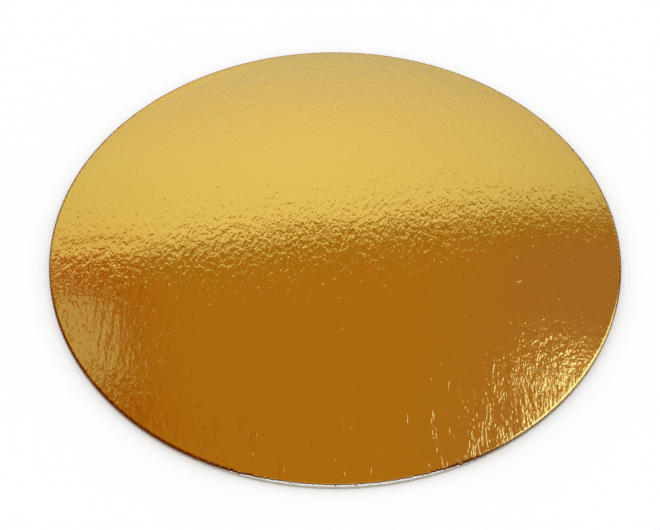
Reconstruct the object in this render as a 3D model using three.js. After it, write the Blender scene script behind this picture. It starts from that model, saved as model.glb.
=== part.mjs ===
// Round cake board: one disc of thick solid card, faced with gold foil and die-cut through.
// Millimetres, +Z up. The origin is the middle of the underside, so the board lies on Z = 0.
import * as THREE from "three";

// Driving dimensions
const BOARD_DIAMETER = 254.0; // across the widest line of the cut wall
const BOARD_THICKNESS = 3.0; // card and foil together
const ROLLOVER_DEPTH = 0.55; // how far the die draws the foil down over the top edge
const ROLLOVER_WIDTH = 0.85; // how far in from the wall the face starts to fall
const SHEARED_BAND = 0.6; // upright band of clean cut just under the rolled foil
const TEAR_TAPER = 0.12; // how much wider the torn card is than the clean cut above it
const LOWER_BULGE = 0.35; // height of the soft outward swell of the torn plies
const FOOT_RADIUS = 0.25; // round where the wall meets the underside
const ARC_STEPS = 6; // straight steps in each quarter arc
const TURN_STEPS = 192; // steps round the disc

// The die enters from the foil side. It rolls the top edge down, shears a short upright band,
// and then the plies tear outwards to the widest line, which swells a little above the foot.
const WIDEST_RADIUS = BOARD_DIAMETER / 2;
const SHEARED_RADIUS = WIDEST_RADIUS - TEAR_TAPER;
const FACE_RADIUS = SHEARED_RADIUS - ROLLOVER_WIDTH;
const SHEARED_TOP = BOARD_THICKNESS - ROLLOVER_DEPTH;
const SHEARED_FOOT = SHEARED_TOP - SHEARED_BAND;
const WIDEST_TOP = FOOT_RADIUS + LOWER_BULGE;

// Points of a quarter ellipse about a centre, from one angle to another, both ends included.
function ellipseArc(centreR, centreZ, halfWidth, halfHeight, fromAngle, toAngle) {
  const points = [];
  for (let step = 0; step <= ARC_STEPS; step += 1) {
    const angle = fromAngle + ((toAngle - fromAngle) * step) / ARC_STEPS;
    const r = centreR + halfWidth * Math.cos(angle);
    const z = centreZ + halfHeight * Math.sin(angle);
    points.push(new THREE.Vector2(r, z));
  }
  return points;
}

// Half section of the board, from the axis at the underside, out and up the cut wall,
// over the rolled edge and back to the axis on the foil face.
function boardSection() {
  const foot = ellipseArc(
    WIDEST_RADIUS - FOOT_RADIUS,
    FOOT_RADIUS,
    FOOT_RADIUS,
    FOOT_RADIUS,
    -Math.PI / 2,
    0,
  );
  const rollover = ellipseArc(
    FACE_RADIUS,
    SHEARED_TOP,
    ROLLOVER_WIDTH,
    ROLLOVER_DEPTH,
    0,
    Math.PI / 2,
  );
  return [
    new THREE.Vector2(0, 0),
    ...foot,
    new THREE.Vector2(WIDEST_RADIUS, WIDEST_TOP),
    new THREE.Vector2(SHEARED_RADIUS, SHEARED_FOOT),
    ...rollover,
    new THREE.Vector2(0, BOARD_THICKNESS),
  ];
}

// The section is turned about the upright axis. Lathes turn about Y, so the disc is laid flat.
function cakeBoard() {
  const geometry = new THREE.LatheGeometry(boardSection(), TURN_STEPS);
  geometry.rotateX(Math.PI / 2);
  const goldFoil = new THREE.MeshStandardMaterial({
    color: 0xd6a443,
    roughness: 0.22,
    metalness: 1.0,
  });
  const board = new THREE.Mesh(geometry, goldFoil);
  board.name = "cake_board";
  return board;
}

const object = new THREE.Group();
object.add(cakeBoard());

export default object;
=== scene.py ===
import math

import bpy
import numpy as np
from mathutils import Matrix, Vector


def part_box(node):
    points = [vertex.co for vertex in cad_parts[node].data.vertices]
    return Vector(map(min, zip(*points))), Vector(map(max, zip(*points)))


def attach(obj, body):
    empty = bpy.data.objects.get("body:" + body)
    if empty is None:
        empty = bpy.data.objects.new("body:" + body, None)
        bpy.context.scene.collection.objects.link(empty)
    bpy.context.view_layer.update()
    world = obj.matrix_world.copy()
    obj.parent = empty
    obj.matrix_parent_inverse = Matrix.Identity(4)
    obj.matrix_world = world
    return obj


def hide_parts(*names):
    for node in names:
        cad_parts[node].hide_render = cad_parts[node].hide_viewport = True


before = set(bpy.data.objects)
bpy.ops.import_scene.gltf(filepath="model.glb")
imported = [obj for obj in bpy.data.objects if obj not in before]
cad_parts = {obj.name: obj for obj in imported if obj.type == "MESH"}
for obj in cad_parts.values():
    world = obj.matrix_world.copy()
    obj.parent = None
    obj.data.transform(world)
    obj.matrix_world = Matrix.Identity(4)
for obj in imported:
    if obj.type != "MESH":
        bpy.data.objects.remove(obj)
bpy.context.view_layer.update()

# Card board
# A disc of 3 mm solid card, die-cut from the foil side. The blade shears the upper plies cleanly
# and the rest tears, so the wall under the foil is rough, white and fibrous, and lower down, above
# the underside, it carries a painted shade of grey. A smooth white liner closes the underside.
MM = 0.001
box_low, box_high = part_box("cake_board")
BOARD_RADIUS = (box_high[0] - box_low[0]) / 2
BOARD_TOP = box_high[2]
BOARD_FOOT = box_low[2]
INNER_RING = 0.6 * BOARD_RADIUS
ROLL_DEPTH = 0.55 * MM
ROLL_WIDTH = 0.85 * MM
ROLL_ANGLES = (0, 20, 40, 60, 80, 90)
ROLL_ROUGH = 0.4
TEAR_TAPER = 0.12 * MM
TORN_HEIGHT = 1.85 * MM
TORN_START = 0.06
TORN_ROWS = 11
FOOT_ROUND = 0.25 * MM
FOOT_START = 5 * FOOT_ROUND
FOOT_ROUGH = 0.2
FOIL_THICKNESS = 0.07 * MM
FOIL_ROOM = 1.6 * FOIL_THICKNESS
WALL_COLUMNS = 2200
WALL_ROUGHNESS = 0.07 * MM
WALL_SETBACK = 1.6 * WALL_ROUGHNESS
WALL_WANDER = (-2.2, 1.5)
PLY_SHARE = 0.6
FIBRE_SHARE = 0.5
RIM_SINES = 60
SHARP_EDGE = math.radians(50)


def rim_noise(turn, height, seed, lumps_round, lumps_up):
    """Random relief round a rim, 1 r.m.s.: a sum of sines, of whole waves to the turn.

    Each is the sine of wave number times turn plus rise times height plus phase. Wave numbers
    lie between a sixth of lumps_round and all of it, and rises are normal, of width lumps_up.
    """
    rng = np.random.default_rng(seed)
    noise = np.zeros(np.broadcast(turn, height).shape)
    for _ in range(RIM_SINES):
        waves = rng.integers(lumps_round // 6, lumps_round)
        rise = rng.normal() * lumps_up
        noise += np.sin(waves * turn + rise * height + rng.random() * 2 * math.pi)
    return noise / math.sqrt(RIM_SINES / 2)


def ring_quads(rows, columns):
    """Faces between closed rings, numbered row after row, facing out where rows rise."""
    row, column = np.meshgrid(np.arange(rows - 1), np.arange(columns), indexing="ij")
    here = row * columns + column
    ahead = row * columns + (column + 1) % columns
    return np.stack([here, ahead, ahead + columns, here + columns], -1).reshape(-1, 4)


def pole_fan(first, columns, pole):
    """Triangles from a ring that starts at a point number to one pole, facing up."""
    column = np.arange(columns)
    after = (column + 1) % columns
    return np.stack([first + column, first + after, np.full(columns, pole)], -1)


def new_piece(name, points, faces):
    """A smooth object with sharp edges, from an array of points and a list of face arrays."""
    mesh = bpy.data.meshes.new(name)
    mesh.from_pydata(points.tolist(), [], [face for block in faces for face in block.tolist()])
    mesh.shade_smooth()
    mesh.set_sharp_from_angle(angle=SHARP_EDGE)
    piece = bpy.data.objects.new(name, mesh)
    bpy.context.scene.collection.objects.link(piece)
    return piece


def card_section(turn):
    """Radius and height of the card's section at each turn, from the axis round to the axis.

    It runs out along the underside, up the torn plies, whose radius is the taper's straight line
    plus two rim noises, and over a quarter ellipse, which the foil covers, to the face. Each row
    is a radius, a height and its share of the wall's roughness.
    """
    rows = [(0.0, 0.0, 0.0), (INNER_RING, 0.0, 0.0)]
    rows += [(BOARD_RADIUS - FOOT_START, 0.0, 0.0), (BOARD_RADIUS - FOOT_ROUND, 0.0, FOOT_ROUGH)]
    for share in np.linspace(TORN_START, 1.0, TORN_ROWS):
        rows.append((BOARD_RADIUS - TEAR_TAPER * share - WALL_SETBACK, TORN_HEIGHT * share, 1.0))
    for angle in np.radians(ROLL_ANGLES):
        radius = BOARD_RADIUS - TEAR_TAPER - FOIL_ROOM - ROLL_WIDTH * (1 - math.cos(angle))
        height = BOARD_TOP - ROLL_DEPTH + (ROLL_DEPTH - FOIL_ROOM) * math.sin(angle)
        rows.append((radius, height, ROLL_ROUGH * (1 - angle / (math.pi / 2))))
    rows += [(INNER_RING, BOARD_TOP - FOIL_ROOM, 0.0), (0.0, BOARD_TOP - FOIL_ROOM, 0.0)]
    radius, height, rough = (np.array(column)[:, None] for column in zip(*rows))
    plies = rim_noise(turn[None, :], height / MM, seed=11, lumps_round=700, lumps_up=1.5)
    fibres = rim_noise(turn[None, :], height / MM, seed=12, lumps_round=2000, lumps_up=4.0)
    wander = np.clip(PLY_SHARE * plies + FIBRE_SHARE * fibres, *WALL_WANDER)
    radius = radius + WALL_ROUGHNESS * rough * wander
    return radius, np.broadcast_to(height + BOARD_FOOT, radius.shape)


def card_board():
    """The section turned about the axis, with one point at each pole."""
    turn = np.linspace(0, 2 * math.pi, WALL_COLUMNS, endpoint=False)
    radius, height = card_section(turn)
    rings = radius.shape[0] - 2
    ring = np.stack([radius * np.cos(turn), radius * np.sin(turn), height], -1)
    points = np.concatenate([ring[1:-1].reshape(-1, 3), [ring[0, 0], ring[-1, 0]]])
    count = rings * WALL_COLUMNS
    underside = pole_fan(0, WALL_COLUMNS, count)[:, ::-1]
    face = pole_fan(count - WALL_COLUMNS, WALL_COLUMNS, count + 1)
    return new_piece("card_board", points, [ring_quads(rings, WALL_COLUMNS), underside, face])


class Value:
    """A node socket that Python's arithmetic turns into Math nodes."""

    def __init__(self, tree, socket):
        self.tree = tree
        self.socket = socket

    def node(self, kind, settings=None, **inputs):
        """A new node of a kind: its settings are set first, then its sockets' values or links.

        A socket goes by its name, with _ for a space, or by i and its number.
        """
        made = self.tree.nodes.new(kind)
        for name, value in (settings or {}).items():
            if name == "stops":
                ramp = made.color_ramp.elements
                ramp[0].position, ramp[-1].position = value[0][0], value[-1][0]
                for place, _ in value[1:-1]:
                    ramp.new(place)
                for stop, (_, colour) in zip(ramp, value):
                    stop.color = colour
            else:
                setattr(made, name, value)
        for name, value in inputs.items():
            socket = made.inputs[int(name[1:]) if name[1:].isdigit() else name.replace("_", " ")]
            if isinstance(value, Value):
                self.tree.links.new(value.socket, socket)
            else:
                socket.default_value = value
        return made

    def out(self, kind, settings=None, output=0, **inputs):
        """One output of such a node, by its number or name."""
        return Value(self.tree, self.node(kind, settings, **inputs).outputs[output])

    def maths(self, operation, other=0.0):
        """This value and another, put through a Math node."""
        return self.out("ShaderNodeMath", {"operation": operation}, i0=self, i1=other)

    def __add__(self, other):
        return self.maths("ADD", other)

    __radd__ = __add__

    def __mul__(self, other):
        return self.maths("MULTIPLY", other)

    __rmul__ = __mul__

    def __sub__(self, other):
        return self.maths("SUBTRACT", other)

    def __rsub__(self, other):
        return self * -1.0 + other

    def __pow__(self, other):
        return self.maths("POWER", other)

    def __abs__(self):
        return self.maths("ABSOLUTE")

    def clamp(self, low, high):
        """This value, held between two numbers."""
        return self.maths("MAXIMUM", low).maths("MINIMUM", high)

    def step(self, low, high):
        """0 at low, 1 at high, and a smooth rise between them, whichever is larger."""
        settings = {"interpolation_type": "SMOOTHSTEP"}
        return self.out("ShaderNodeMapRange", settings, Value=self, From_Min=low, From_Max=high)

    def between(self, none, other):
        """One colour where this share is 0, the other where it is 1."""
        return self.out("ShaderNodeMix", {"data_type": "RGBA"}, 2, i0=self, i6=none, i7=other)

    def parts(self):
        """This vector's X, Y and Z."""
        split = self.node("ShaderNodeSeparateXYZ", None, Vector=self)
        return [Value(self.tree, socket) for socket in split.outputs]

    def scaled(self, x, y, z):
        """This place with each axis multiplied: a pattern on it is drawn out where that is small."""
        return self.out("ShaderNodeMapping", None, Vector=self, Scale=(x, y, z))

    def noise(self, **inputs):
        """A noise on this place, whose Scale is in lumps to the metre."""
        return self.out("ShaderNodeTexNoise", None, Vector=self, **inputs)


def new_material(name):
    """An empty material, and its Object coordinates as the first value."""
    material = bpy.data.materials.new(name)
    material.use_nodes = True
    tree = material.node_tree
    tree.nodes.clear()
    return material, Value(tree, tree.nodes.new("ShaderNodeTexCoord").outputs["Object"])


def set_surface(value, kind, shader, output="ShaderNodeOutputMaterial"):
    """Ends a node tree: joins a shader of a kind to the tree's output."""
    made = value.node(kind, None, **shader)
    value.tree.links.new(made.outputs[0], value.node(output).inputs["Surface"])


CARD_WHITE = (0.98, 0.97, 0.93, 1.0)
# Painted shade: the grey that the lower wall is painted, for the shade that falls there.
PAINTED_SHADE_GREY = (0.50, 0.455, 0.375, 1.0)
FIBRE_SHADE = (0.50, 0.46, 0.40, 1.0)
CRUMB_BROWN = (0.24, 0.12, 0.05, 1.0)
# Painted shade: the dark of the seams between plies, for the shade in their grooves.
PLY_SEAM_SHADE = (0.27, 0.235, 0.18, 1.0)
LINER_WHITE = (0.81, 0.80, 0.76, 1.0)
LINER_MOTTLE = (0.745, 0.73, 0.68, 1.0)
SHADE_GREY_HEIGHT = (1.95, 1.6)
SHADE_GREY_WANDER = 1.1
CRUMB_HEIGHT = (1.6, 2.0)
LINER_HEIGHT = (0.12, 0.02)
FIBRE_MARKS = (0.60, 0.78)
FIBRE_DEPTH = 0.7
CRUMB_MARKS = (0.62, 0.68)
SEAM_SHADE_MARKS = (0.47, 0.66)
SEAM_SHADE_DEPTH = 0.55
MOTTLE_MARKS = (0.35, 0.75)
CARD_RELIEF = 0.035 * MM


def card_material():
    """Torn plies, white above with a painted shade of grey below, and a white liner with a faint
    mottle.

    The plies are flecked with fibres and with crumbs of foil, and parted by seams, each of them
    the upper part of a noise, drawn out flat for fibres and seams. The seams' dark is a painted
    shade of their grooves. Heights are in millimetres.
    """
    material, place = new_material("cut_card")
    height = place.parts()[2] * (1 / MM)
    layered = place.scaled(1.0, 1.0, 3.5)
    clots = layered.noise(Scale=700.0, Detail=4.0)
    fibres = layered.noise(Scale=1900.0, Detail=3.0)
    seams = place.scaled(0.3, 0.3, 6.0).noise(Scale=900.0, Detail=4.0)
    crumbs = place.noise(Scale=620.0, Detail=3.0)
    mottle = place.noise(Scale=420.0, Detail=6.0)
    # Painted shade: the wall turns grey towards its foot.
    grey = (height + (clots - 0.5) * SHADE_GREY_WANDER).step(*SHADE_GREY_HEIGHT)
    plies = grey.between(CARD_WHITE, PAINTED_SHADE_GREY)
    plies = (fibres.step(*FIBRE_MARKS) * FIBRE_DEPTH).between(plies, FIBRE_SHADE)
    plies = (crumbs.step(*CRUMB_MARKS) * height.step(*CRUMB_HEIGHT)).between(plies, CRUMB_BROWN)
    # Painted shade in the seams' grooves.
    plies = (seams.step(*SEAM_SHADE_MARKS) * SEAM_SHADE_DEPTH).between(plies, PLY_SEAM_SHADE)
    liner = mottle.step(*MOTTLE_MARKS).between(LINER_WHITE, LINER_MOTTLE)
    colour = height.step(*LINER_HEIGHT).between(plies, liner)
    relief_m = (fibres + clots - seams) * CARD_RELIEF
    normal = place.out("ShaderNodeBump", None, Height=relief_m, Strength=0.8, Distance=1.0)
    shader = {"Base_Color": colour, "Roughness": 0.85, "Normal": normal}
    set_surface(place, "ShaderNodeBsdfPrincipled", shader)
    return material


board = card_board()
board.data.materials.append(card_material())
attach(board, "root")
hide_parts("cake_board")

# Gold foil
# A polished gold foil laminated over the whole face. The die draws it down over the edge and
# tears it off against the white card. It follows the card's slow waves, and it is finely
# crinkled, most of all at the right of the near edge, where the creases run along the grain (Y).
FACE_COLUMNS = 320
FACE_ROWS = 196
SLOW_SLOPE = 0.0014
CRINKLE_SLOPE = 0.0013
RELIEF_ROOM = 0.03 * MM
RELIEF_LIMIT = 0.02 * MM
EDGE_FADE = 5 * MM
LIP_START = 0.8 * MM
LIP_ROWS = 10
LIP_BEHIND = [-1, -4]
ROLL_LENGTH = 1.1 * MM

# The patch that handling has worked is placed in millimetres from the axis and in degrees. In the
# finest crinkle its end draws back by TUCK_TURN degrees for each millimetre past WORKED_TUCK.
WORKED_RADIUS = (80.0, 101.0)
WORKED_START = (-73.0, -40.0)
WORKED_END = (-12.0, -33.0)
WORKED_TUCK = 104.0
TUCK_TURN = 0.5
WORKED_CRINKLE = 1.6

# How far the foil reaches down the edge, and how much of that carries painted shade, is in
# millimetres.
LIP_LONG = 2.0
LIP_SHORT = 0.62
LIP_LIMITS = (0.25, 2.2)
LIP_TORN = 0.05
LIP_TORN_BETWEEN = 0.22
LIP_RAGGED = 0.05
# Painted shade: how far up from the torn edge the foil is painted dark, for the dark that the roll
# reflects.
DARK_EDGE_LONG = 2.15
DARK_EDGE_BRIGHT_ROLL = 1.4
DARK_EDGE_SHORT = 0.42
DARK_EDGE_RAGGED = 0.12
DARK_EDGE_BLUR = 0.75
NEAR_EDGE_TURN = math.radians(-88)
NEAR_EDGE_SPREAD = math.radians(21)
BRIGHT_ROLL_TURN = math.radians(-40)
BRIGHT_ROLL_SPREAD = math.radians(23)


def random_waves(seed, count, shortest, longest, stretch):
    """Wave numbers, phases and weights of a random relief, made of straight sine waves.

    Wave lengths are spread evenly in their logarithm between the shortest and longest. Each
    wave's direction is random, and its pull along Y is divided by stretch, so that ridges run
    along Y. A wave's weight makes its slope, and not its height, the same as the others'.
    """
    rng = np.random.default_rng(seed)
    length = shortest * (longest / shortest) ** rng.random(count)
    turn = rng.random(count) * 2 * math.pi
    number = np.stack([np.cos(turn), np.sin(turn) / stretch], 1) * (2 * math.pi / length)[:, None]
    weight = math.sqrt(2 / count) / np.hypot(number[:, 0], number[:, 1])
    return number, rng.random(count) * 2 * math.pi, weight


def relief(waves, x, y):
    """Sum of weight times the sine of wave number dot place plus phase; its slope is 1 r.m.s."""
    height = np.zeros(x.shape)
    for (across, along), phase, weight in zip(*waves):
        height += weight * np.sin(across * x + along * y + phase)
    return height


def smooth_step(value, low, high):
    """0 at low, 1 at high, and 3 t t - 2 t t t between them, whichever is larger."""
    t = np.clip((value - low) / (high - low), 0, 1)
    return t * t * (3 - 2 * t)


slow_waves = random_waves(seed=21, count=20, shortest=45 * MM, longest=160 * MM, stretch=1.0)
crinkle_waves = random_waves(seed=22, count=280, shortest=3 * MM, longest=9 * MM, stretch=2.2)


def face_height(x, y):
    """Height of the foil: slow waves plus a crinkle that grows in the worked patch.

    The patch is a smooth step outwards times one along the turn at each of its ends. All fades
    out over EDGE_FADE at the rolled edge, and a hyperbolic tangent holds it to RELIEF_LIMIT.
    """
    outwards = np.hypot(x, y)
    turn = np.degrees(np.arctan2(y, x))
    worked = smooth_step(turn, *WORKED_START) * smooth_step(turn, *WORKED_END)
    worked = worked * smooth_step(outwards / MM, *WORKED_RADIUS)
    crinkle = CRINKLE_SLOPE * relief(crinkle_waves, x, y) * (1 + WORKED_CRINKLE * worked)
    height = SLOW_SLOPE * relief(slow_waves, x, y) + crinkle
    fade = smooth_step(BOARD_RADIUS - outwards, LIP_START, LIP_START + EDGE_FADE)
    return RELIEF_LIMIT * np.tanh(height / RELIEF_LIMIT) * fade


def bell(turn, middle, spread):
    """1 about one turn of the rim and 0 away from it: e to the minus sixth power of the way off."""
    away = np.angle(np.exp(1j * (turn - middle))) / spread
    return np.exp(-(away ** 6))


def foil_reach(turn):
    """How far the foil comes down its edge, and how far up from there it is painted dark, in mm.

    Round most of the rim it covers the roll and part of the wall, and is painted dark all the way,
    a painted shade for the dark that the roll reflects. In a bell at the near edge it was cut off
    high on the roll, and between the two it is ragged. In a bell at the right the painted shade
    stays off the upper part of the roll, which stays bright. Rim noises make both uneven.
    """
    high_cut = bell(turn, NEAR_EDGE_TURN, NEAR_EDGE_SPREAD)
    bright = bell(turn, BRIGHT_ROLL_TURN, BRIGHT_ROLL_SPREAD)
    torn = rim_noise(turn, np.zeros(1), seed=31, lumps_round=420, lumps_up=0.0)
    ragged = rim_noise(turn, np.zeros(1), seed=32, lumps_round=1500, lumps_up=0.0)
    between = 4 * high_cut * (1 - high_cut)
    reach = LIP_LONG + (LIP_SHORT - LIP_LONG) * high_cut
    reach = reach + (LIP_TORN + LIP_TORN_BETWEEN * between) * torn + LIP_RAGGED * ragged
    widest = DARK_EDGE_LONG + (DARK_EDGE_BRIGHT_ROLL - DARK_EDGE_LONG) * bright
    dark_length = widest + (DARK_EDGE_SHORT - widest) * high_cut
    return np.clip(reach, *LIP_LIMITS), dark_length * (1 + DARK_EDGE_RAGGED * ragged)


def foil_section(walked):
    """Radius and height on the foil's section, by the distance walked out from the flat face.

    The first stretch is flat, then comes a quarter ellipse, and then the upright wall.
    """
    flat_end = BOARD_RADIUS - TEAR_TAPER - ROLL_WIDTH
    past = (walked - LIP_START) / ROLL_LENGTH
    angle = np.clip(past, 0, 1) * math.pi / 2
    radius = flat_end + np.minimum(walked - LIP_START, 0) + ROLL_WIDTH * np.sin(angle)
    fall = ROLL_DEPTH * (1 - np.cos(angle)) + np.maximum(past - 1, 0) * ROLL_LENGTH
    return radius, BOARD_TOP - RELIEF_ROOM - fall


def face_grid():
    """The face as a grid of points, its faces, and the numbers of its rim's points in turn.

    It maps a square to a disc: x is u times the root of 1 - v v / 2, y is v times the root of
    1 - u u / 2.
    """
    u = np.linspace(-1, 1, FACE_COLUMNS + 1)
    v = np.linspace(-1, 1, FACE_ROWS + 1)
    u, v = np.meshgrid(u, v)
    inner, _ = foil_section(np.zeros(1))
    x = inner * u * np.sqrt(1 - v * v / 2)
    y = inner * v * np.sqrt(1 - u * u / 2)
    z = BOARD_TOP - RELIEF_ROOM + face_height(x, y)
    points = np.stack([x, y, z], -1).reshape(-1, 3)
    number = np.arange(points.shape[0]).reshape(x.shape)
    quads = np.stack([number[:-1, :-1], number[:-1, 1:], number[1:, 1:], number[1:, :-1]], -1)
    rim = np.concatenate([number[0, :-1], number[:-1, -1], number[-1, :0:-1], number[:0:-1, 0]])
    return points, quads.reshape(-1, 4), rim


def lip_rings(turn):
    """Rings of points down the rolled edge, and how much painted shade the foil has at each point.

    They follow the section from the face's rim out to the torn edge, by equal shares of the way.
    Two more turn in behind it, as copies of LIP_BEHIND's rings set in by the foil's thickness.
    """
    reach, dark_length = foil_reach(turn)
    length = LIP_START + reach * MM
    share = np.arange(1, LIP_ROWS + 1)[:, None] / LIP_ROWS
    radius, height = foil_section(share * length)
    outer = np.stack([radius * np.cos(turn), radius * np.sin(turn), height], -1)
    behind = outer[LIP_BEHIND].copy()
    behind[:, :, :2] *= 1 - FOIL_THICKNESS / BOARD_RADIUS
    behind[1, :, 2] -= FOIL_THICKNESS
    # Share of painted shade at each ring: none above the dark stretch, all of it at the torn edge.
    crush = 1 - smooth_step(length * (1 - share) / MM, dark_length * DARK_EDGE_BLUR, dark_length)
    return np.concatenate([outer, behind]), np.concatenate([crush, np.ones((2, turn.size))])


def rim_fan(rim, start):
    """Triangles from the face's rim to the first ring of the lip, which has twice its points."""
    step = np.arange(rim.size)
    next_rim = rim[(step + 1) % rim.size]
    first, second = start + 2 * step, start + 2 * step + 1
    third = start + (2 * step + 2) % (2 * rim.size)
    fans = [(rim, first, second), (rim, second, next_rim), (next_rim, second, third)]
    return np.concatenate([np.stack(corners, -1) for corners in fans])


def gold_foil():
    """The foil as a closed skin: the face, a fan of triangles to a finer ring, and the lip.

    The lip has a point at each point of the face's rim and one midway between, and a pole under
    the face closes the inside. The point attribute of painted shade is 0 on the face, rises to 1 at
    the torn edge and is 1 inside the skin.
    """
    face, quads, rim = face_grid()
    coarse = np.unwrap(np.arctan2(face[rim, 1], face[rim, 0]))
    middle = (coarse + np.append(coarse[1:], coarse[0] + 2 * math.pi)) / 2
    turn = np.stack([coarse, middle], 1).ravel()
    lip, lip_edge_shade = lip_rings(turn)
    pole = [[0.0, 0.0, BOARD_TOP - RELIEF_ROOM - FOIL_THICKNESS]]
    points = np.concatenate([face, lip.reshape(-1, 3), pole])

    start = face.shape[0]
    last = start + (len(lip) - 1) * turn.size
    rings = ring_quads(len(lip), turn.size)[:, ::-1] + start
    inside = pole_fan(last, turn.size, points.shape[0] - 1)[:, ::-1]
    foil = new_piece("gold_foil", points, [quads, rim_fan(rim, start), rings, inside])

    crush = np.concatenate([np.zeros(start), lip_edge_shade.ravel(), [1.0]])
    foil.data.attributes.new("crush", "FLOAT", "POINT").data.foreach_set("value", crush)
    return foil


FOIL_GOLD = (0.775, 0.53, 0.16, 1.0)
# Painted shade: the dark maroon that the rolled edge is painted, for the dark that it reflects.
PAINTED_DARK_EDGE = (0.15, 0.032, 0.005, 1.0)
FOIL_ROUGHNESS = 0.035
GRAIN_HEIGHT = 0.042 * MM
PIT_HEIGHT = 0.018 * MM
CREASE_HEIGHT = 0.024 * MM
PRESSED_HEIGHT = 0.10 * MM
RIPPLE_HEIGHT = 0.04 * MM
BLOTCH_HEIGHT = 0.055 * MM
NICK_HEIGHT = 0.016 * MM
FOLD_DEPTH = 0.04 * MM

# Zones of the face, in millimetres. Each edge runs from where a thing isn't there yet to where it
# is there in full: across the face (X) for CALM_SIDES, SMOOTH_LEFT and the first edge of a zone
# that has several, and along it (Y) for all others.
CALM_SIDES = (50.0, 90.0)
STREAKED = (-60.0, -88.0)
RIPPLED = ((-66.0, -82.0), (-8.0, -34.0), (-104.0, -84.0))
UPPER_BLOTCH = ((-76.0, -98.0), (-40.0, -30.0), (0.0, -10.0))
LOWER_BLOTCH = ((-58.0, -82.0), (-60.0, -76.0))
CREASED = (0.0, -20.0)
CREASED_NEAR = (-70.0, -122.0)
CREASED_RIGHT = ((24.0, 52.0), (-70.0, -95.0))
SMOOTH_LEFT = (-30.0, -75.0)
NICK = {"middle": (80.3, -22.6), "turn": math.radians(23), "length": 3.4, "width": 0.7}
FOLD = {"middle": (86.5, -70.6), "turn": math.radians(-8), "length": 11.5, "width": 1.1}
MARK_FADE = 1.0

# How much stronger or weaker each of them is where it is there in full.
CALM_SHARE = 0.35
STRAND_SHARE = 0.45
LOWER_BLOTCH_SHARE = 0.8
WORKED_PITS = 1.5
NEAR_CREASES = 0.10
RIGHT_CREASES = 0.12
WORKED_CREASES = 0.20
SMOOTH_LEFT_SHARE = 0.75

# Where the patterns' own values, from 0 to 1, make a pit, a crease or a patch of creases.
PIT_EDGE = 0.45
CREASE_EDGE = 0.09
CREASE_PATCH = (0.66, 0.80)


def zone(x, y, across, *along):
    """A patch of the face: a smooth step across it, times each of those along it."""
    share = x.step(*across)
    for edge in along:
        share = share * y.step(*edge)
    return share


def worked_patch(x, y):
    """The worked patch of face_height, but its end draws back, by TUCK_TURN outside WORKED_TUCK."""
    outwards = (x * x + y * y) ** 0.5
    turn = y.maths("ARCTAN2", x) * (180 / math.pi)
    tucked = turn + (outwards - WORKED_TUCK).maths("MAXIMUM", 0.0) * TUCK_TURN
    return outwards.step(*WORKED_RADIUS) * turn.step(*WORKED_START) * tucked.step(*WORKED_END)


def straight_mark(x, y, middle, turn, length, width):
    """1 on a short straight line, all in mm, and 0 past its ends and sides, eased at each."""
    right, up = math.cos(turn), math.sin(turn)
    along = (x - middle[0]) * right + (y - middle[1]) * up
    aside = (y - middle[1]) * right - (x - middle[0]) * up
    return abs(along).step(length / 2, length / 2 - MARK_FADE) * abs(aside).step(width / 2, 0.0)


def foil_relief(place):
    """Height in metres of the crinkle that is finer than the mesh, as a sum of reliefs.

    A grain of noise covers the face, with pits, which are domes in the cells of a cell pattern,
    each by a chance of its own, cubed. Creases are the thin lines where a noise drawn out along
    Y passes its middle value, kept in patches. The worked patch has dimples, and strands nearer
    the edge; ripples and blotches of dimples lie at the left, and a nick and a fold at the right.
    """
    x, y, _ = [part * (1 / MM) for part in place.parts()]
    worked = worked_patch(x, y)
    drawn_out = place.scaled(1.0, 0.48, 1.0)
    grain = drawn_out.noise(Scale=600.0, Detail=2.2, Distortion=0.6)
    cells = place.node("ShaderNodeTexVoronoi", None, Vector=drawn_out, Scale=680.0)
    chance = Value(place.tree, cells.outputs["Color"]).parts()[0]
    pits = Value(place.tree, cells.outputs["Distance"]).step(PIT_EDGE, 0.0) * chance ** 3.0

    along = place.scaled(1.0, 0.22, 1.0)
    strands = along.noise(Scale=480.0, Detail=2.0)
    ripples = along.noise(Scale=300.0, Detail=1.0)
    patches = along.noise(Scale=260.0, Detail=1.0)
    dimples = place.scaled(1.0, 0.62, 1.0).noise(Scale=480.0, Detail=2.0)
    streaked = y.step(*STREAKED)
    pressed = dimples * (1.0 - streaked) + strands * streaked * STRAND_SHARE
    blotched = zone(x, y, *UPPER_BLOTCH) + zone(x, y, *LOWER_BLOTCH) * LOWER_BLOTCH_SHARE

    handled = y.step(*CREASED_NEAR) * NEAR_CREASES + zone(x, y, *CREASED_RIGHT) * RIGHT_CREASES
    handled = handled.maths("MAXIMUM", worked * WORKED_CREASES)
    creases = abs(strands - 0.5).step(CREASE_EDGE, 0.0) * (patches + handled).step(*CREASE_PATCH)
    creases = creases * y.step(*CREASED) * (1.0 - x.step(*SMOOTH_LEFT) * SMOOTH_LEFT_SHARE)

    calm = 1.0 - abs(x).step(*CALM_SIDES) * CALM_SHARE
    relief_m = grain * calm * GRAIN_HEIGHT + pits * PIT_HEIGHT * (worked * WORKED_PITS + 1.0)
    relief_m = relief_m + creases * CREASE_HEIGHT + pressed * worked * PRESSED_HEIGHT
    relief_m = relief_m + ripples * zone(x, y, *RIPPLED) * RIPPLE_HEIGHT
    relief_m = relief_m + dimples * blotched * BLOTCH_HEIGHT
    nick = straight_mark(x, y, **NICK) * NICK_HEIGHT
    return relief_m + nick - straight_mark(x, y, **FOLD) * FOLD_DEPTH


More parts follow.
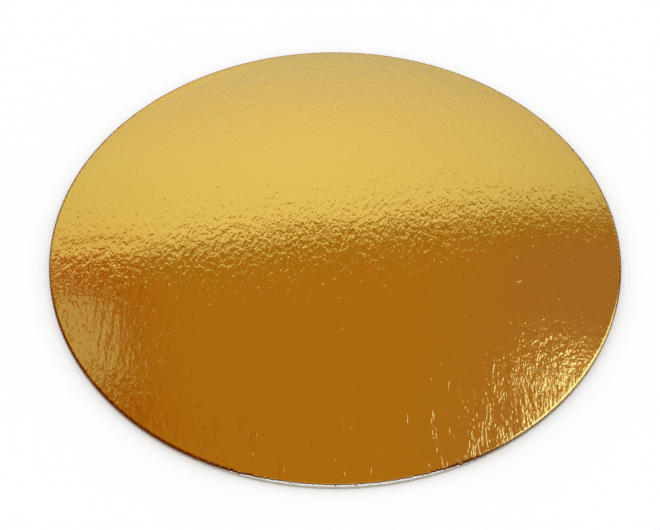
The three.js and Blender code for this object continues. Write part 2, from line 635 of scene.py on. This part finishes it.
def foil_material():
    """Polished gold with its finest crinkle as a bump, and a painted shade of dark maroon down its
    rolled edge.
    """
    material, place = new_material("gold_foil")
    relief_m = foil_relief(place)
    normal = place.out("ShaderNodeBump", None, Height=relief_m, Strength=1.0, Distance=1.0)
    # Painted shade: the rolled edge turns dark maroon by the attribute of painted shade.
    crush = place.out("ShaderNodeAttribute", {"attribute_name": "crush"}, "Fac")
    colour = crush.between(FOIL_GOLD, PAINTED_DARK_EDGE)
    shader = {"Base_Color": colour, "Metallic": 1.0, "Roughness": FOIL_ROUGHNESS, "Normal": normal}
    set_surface(place, "ShaderNodeBsdfPrincipled", shader)
    return material


foil = gold_foil()
foil.data.materials.append(foil_material())
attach(foil, "root")
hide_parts("cake_board")

# Studio floor
# A plain white table top just under the board, which takes its shadow. It is a backdrop and not
# part of the board.
FLOOR_REACH = 6.0
FLOOR_DROP = 0.05 * MM
FLOOR_WHITE = (1.0, 1.0, 1.0, 1.0)
FLOOR_PALE = (0.9, 0.9, 0.9, 1.0)


def studio_floor():
    """One square, a touch below the board so that the two don't share a plane."""
    mesh = bpy.data.meshes.new("floor")
    signs = np.array([(-1, -1, 0), (1, -1, 0), (1, 1, 0), (-1, 1, 0)])
    corners = signs * FLOOR_REACH + (0.0, 0.0, BOARD_FOOT - FLOOR_DROP)
    mesh.from_pydata(corners.tolist(), [], [(0, 1, 2, 3)])
    floor = bpy.data.objects.new("floor", mesh)
    bpy.context.scene.collection.objects.link(floor)
    return floor


def floor_material():
    """White to the camera, and a little darker in what it throws back on the board."""
    material, place = new_material("white_table")
    seen = place.out("ShaderNodeLightPath", None, "Is Camera Ray")
    colour = seen.between(FLOOR_PALE, FLOOR_WHITE)
    set_surface(place, "ShaderNodeBsdfPrincipled", {"Base_Color": colour, "Roughness": 0.9})
    return material


floor = studio_floor()
floor.data.materials.append(floor_material())

# Light tent
# A tent of white cloth, which lights everything evenly. The foil mirrors it as pale walls under a
# dim amber roof with an open top, a low shelf, a soft panel and a dark corner at the left, and a
# bright panel at the right. Places in it are degrees of elevation, or of azimuth from dead ahead.
TENT_LIGHT = (1.0, 1.0, 1.0, 1.0)
UNLIT = (0.0, 0.0, 0.0, 1.0)
FRONT_END = (22.0, 60.0)

# Walls, with colours by the share of WALL_SPAN climbed from WALL_START.
WALL_STOPS = [
    (0.18, (0.745, 0.81, 1.0, 1.0)),
    (0.33, (0.92, 0.90, 0.75, 1.0)),
    (0.44, (0.965, 0.955, 0.70, 1.0)),
    (0.53, (0.98, 1.0, 0.68, 1.0)),
    (0.66, (1.0, 0.97, 0.60, 1.0)),
]
WALL_START = 40.0
WALL_SPAN = 10.0
WALL_MIDDLE = -2.0
WALL_HALF = 13.0
WALL_DIMMING = 0.16
WALL_DIMMEST = 1.7
SIDE_WALL = (1.0, 0.94, 0.74, 1.0)
LOW_WALL = (41.2, 37.0)
WALL_GLOW = (1.0, 0.76, 0.30, 1.0)
GLOW_LEFT = (8.5, 12.5)
GLOW_RISE = (46.6, 48.2)
GLOW_SHARE = 0.5

# Top of the walls, which falls and rises with the azimuth.
WALL_TOP = 48.38
TOP_EDGE = (-0.25, 0.2)
TOP_FALL = 0.115
TOP_FALL_END = 20.0
TOP_SIDE_FALL = 12.0
TOP_SWELL = 0.2
TOP_SWELL_LEFT = (1.0, 7.0)
TOP_DIP = 0.55
TOP_DIP_LEFT = (9.0, 14.0)

# Roof, with its eaves just over the walls and its open top.
ROOF_AMBER = (0.533, 0.27, 0.025, 1.0)
ROOF_RIGHT = (0.46, 0.25, 0.085, 1.0)
ROOF_RIGHT_FROM = (4.0, 15.0)
ROOF_LEFT = (0.45, 0.18, 0.010, 1.0)
ROOF_LEFT_FROM = (9.0, 12.5)
ROOF_RUST = (0.47, 0.140, 0.004, 1.0)
RUST_LEFT = (10.5, 13.0)
RUST_TOP = (50.4, 49.4)
ROOF_EAVES = (0.43, 0.235, 0.010, 1.0)
EAVES_EDGE = (1.1, 0.4)
OVERHEAD = (0.94, 0.92, 0.70, 1.0)
OVERHEAD_NEAR = (0.62, 0.46, 0.20, 1.0)
OVERHEAD_RISE = (68.0, 80.0)
OVERHEAD_AHEAD = (-0.22, 0.16)

# Soft panel at the left. LEFT_END is where it and the dark corner end, far to the left.
LEFT_PANEL = (0.63, 0.53, 0.28, 1.0)
LEFT_PANEL_FROM = (11.9, 13.7)
LEFT_PANEL_FOOT = 49.6
LEFT_PANEL_EDGE = (0.0, 0.7)
LEFT_PANEL_TOP = (53.7, 52.3)
FOOT_DIP = 0.8
FOOT_DIP_LEFT = (14.0, 15.6)
LEFT_END = (70.0, 50.0)

# Dark corner at the outer side of the soft panel.
DARK_CORNER = (0.40, 0.14, 0.01, 1.0)
CORNER_LEFT = 16.2
CORNER_EDGE = (0.0, 1.6)
CORNER_LEAN = 2.2
CORNER_LEAN_RISE = (52.6, 54.2)
CORNER_TOP = (70.0, 60.0)

# Bright panel at the right, with a golden rim.
RIGHT_PANEL = (1.35, 1.8, 2.3, 1.0)
RIGHT_CORE = (0.42, 0.85)
PANEL_EDGE = (0.88, 0.64, 0.27, 1.0)
RIGHT_RIM = (0.06, 0.6)
RIGHT_PANEL_FROM = (9.9, 17.2)
RIGHT_PANEL_END = (115.0, 100.0)
RIGHT_PANEL_FOOT = (50.2, 53.6)
RIGHT_PANEL_TOP = (68.0, 60.0)
RIGHT_LEAN_RISE = 53.2
FOOT_FALL = 0.5
FOOT_FALL_FROM = 21.0
FOOT_FALL_SPAN = 16.0

# Low shelf, all round.
SHELF_FOOT = (14.0, 15.5)
SHELF_TOP = (27.0, 22.0)
SHELF_SHARE = 0.7


def tent_walls(azimuth, elevation, side):
    """Colours by elevation, dimmed by the square of the azimuth's way off their middle.

    At the sides and low down they are one warm white, and under the roof at the left they glow.
    """
    climb = (elevation - WALL_START) * (1 / WALL_SPAN)
    walls = climb.out("ShaderNodeValToRGB", {"stops": WALL_STOPS}, Fac=climb)
    aside = ((azimuth - WALL_MIDDLE) * (1 / WALL_HALF)) ** 2.0
    warm = side.maths("MAXIMUM", elevation.step(*LOW_WALL))
    dim = aside.maths("MINIMUM", WALL_DIMMEST) * (1.0 - warm) * WALL_DIMMING
    walls = warm.between(dim.between(walls, UNLIT), SIDE_WALL)
    glow = (azimuth * -1.0).step(*GLOW_LEFT) * elevation.step(*GLOW_RISE)
    return (glow * GLOW_SHARE).between(walls, WALL_GLOW)


def wall_top(azimuth, side):
    """Where the walls end: lower to the right and at the sides, with a swell and dip at the left."""
    leftward = azimuth * -1.0
    top = WALL_TOP - azimuth.clamp(0.0, TOP_FALL_END) * TOP_FALL - side * TOP_SIDE_FALL
    return top + leftward.step(*TOP_SWELL_LEFT) * TOP_SWELL - leftward.step(*TOP_DIP_LEFT) * TOP_DIP


def tent_roof(azimuth, elevation, ahead, over):
    """Amber, duller at the right and redder at the left, with darker eaves just over the walls.

    Its open top is pale, and less so at the near side, by the direction's Y.
    """
    at_left = (azimuth * -1.0).step(*ROOF_LEFT_FROM)
    roof = azimuth.step(*ROOF_RIGHT_FROM).between(ROOF_AMBER, ROOF_RIGHT)
    roof = at_left.between(roof, ROOF_LEFT)
    rusty = (azimuth * -1.0).step(*RUST_LEFT) * elevation.step(*RUST_TOP)
    roof = rusty.between(roof, ROOF_RUST)
    roof = (over.step(*EAVES_EDGE) * (1.0 - at_left)).between(roof, ROOF_EAVES)
    overhead = ahead.step(*OVERHEAD_AHEAD).between(OVERHEAD_NEAR, OVERHEAD)
    return elevation.step(*OVERHEAD_RISE).between(roof, overhead)


def left_panel(leftward, elevation):
    """How far a direction is inside the soft panel, whose foot dips at its outer side."""
    foot = LEFT_PANEL_FOOT - leftward.step(*FOOT_DIP_LEFT) * FOOT_DIP
    panel = leftward.step(*LEFT_PANEL_FROM) * leftward.step(*LEFT_END)
    return panel * (elevation - foot).step(*LEFT_PANEL_EDGE) * elevation.step(*LEFT_PANEL_TOP)


def dark_corner(leftward, elevation):
    """How far a direction is inside the corner, which leans in over the soft panel."""
    inner = CORNER_LEFT - elevation.step(*CORNER_LEAN_RISE) * CORNER_LEAN
    corner = (leftward - inner).step(*CORNER_EDGE) * leftward.step(*LEFT_END)
    return corner * elevation.step(*CORNER_TOP)


def right_panel(azimuth, elevation):
    """How far a direction is inside the bright panel, which leans out and whose foot falls away."""
    inward = (elevation - RIGHT_LEAN_RISE).maths("MAXIMUM", 0.0)
    panel = (azimuth - inward).step(*RIGHT_PANEL_FROM) * azimuth.step(*RIGHT_PANEL_END)
    beyond = (azimuth - FOOT_FALL_FROM).clamp(0.0, FOOT_FALL_SPAN) * FOOT_FALL
    return panel * (elevation + beyond).step(*RIGHT_PANEL_FOOT) * elevation.step(*RIGHT_PANEL_TOP)


def tent_world():
    """White light for everything, and the tent for what mirrors it."""
    world = bpy.data.worlds.new("light_tent")
    bpy.context.scene.world = world
    world.use_nodes = True
    tree = world.node_tree
    tree.nodes.clear()
    direction = Value(tree, tree.nodes.new("ShaderNodeTexCoord").outputs["Generated"])
    across, ahead, up = direction.parts()
    elevation = up.maths("ARCSINE") * (180 / math.pi)
    azimuth = across.maths("ARCTAN2", ahead) * (180 / math.pi)
    leftward = azimuth * -1.0
    side = abs(azimuth).step(*FRONT_END)

    over = elevation - wall_top(azimuth, side)
    above = over.step(*TOP_EDGE)
    walls = tent_walls(azimuth, elevation, side)
    tent = above.between(walls, tent_roof(azimuth, elevation, ahead, over))
    tent = left_panel(leftward, elevation).between(tent, LEFT_PANEL)
    tent = (dark_corner(leftward, elevation) * above).between(tent, DARK_CORNER)
    right = right_panel(azimuth, elevation)
    tent = right.step(*RIGHT_RIM).between(tent, PANEL_EDGE)
    tent = right.step(*RIGHT_CORE).between(tent, RIGHT_PANEL)
    shelf = elevation.step(*SHELF_FOOT) * elevation.step(*SHELF_TOP)
    tent = (shelf * SHELF_SHARE).between(tent, ROOF_AMBER)
    mirrored = direction.out("ShaderNodeLightPath", None, "Is Glossy Ray")
    light = {"Color": mirrored.between(TENT_LIGHT, tent), "Strength": 1.0}
    set_surface(direction, "ShaderNodeBackground", light, "ShaderNodeOutputWorld")


tent_world()

# Camera
# A short telephoto view down on the near edge, at the photograph's angle. It is aimed at a point
# of the face a little left of the middle and nearer, which puts the board where it stands there.
LENS = 85.0
CLIP_START = 0.01
DISTANCE = 686.9 * MM
ELEVATION = math.radians(49.54)
AIM = (-2.25 * MM, -13.03 * MM)

camera_data = bpy.data.cameras.new("camera")
camera_data.lens = LENS
camera_data.clip_start = CLIP_START
camera = bpy.data.objects.new("camera", camera_data)
bpy.context.scene.collection.objects.link(camera)
nearer = AIM[1] - DISTANCE * math.cos(ELEVATION)
camera.location = (AIM[0], nearer, BOARD_TOP + DISTANCE * math.sin(ELEVATION))
camera.rotation_euler = (math.pi / 2 - ELEVATION, 0.0, 0.0)
bpy.context.scene.camera = camera
bpy.context.scene.view_settings.view_transform = "Standard"
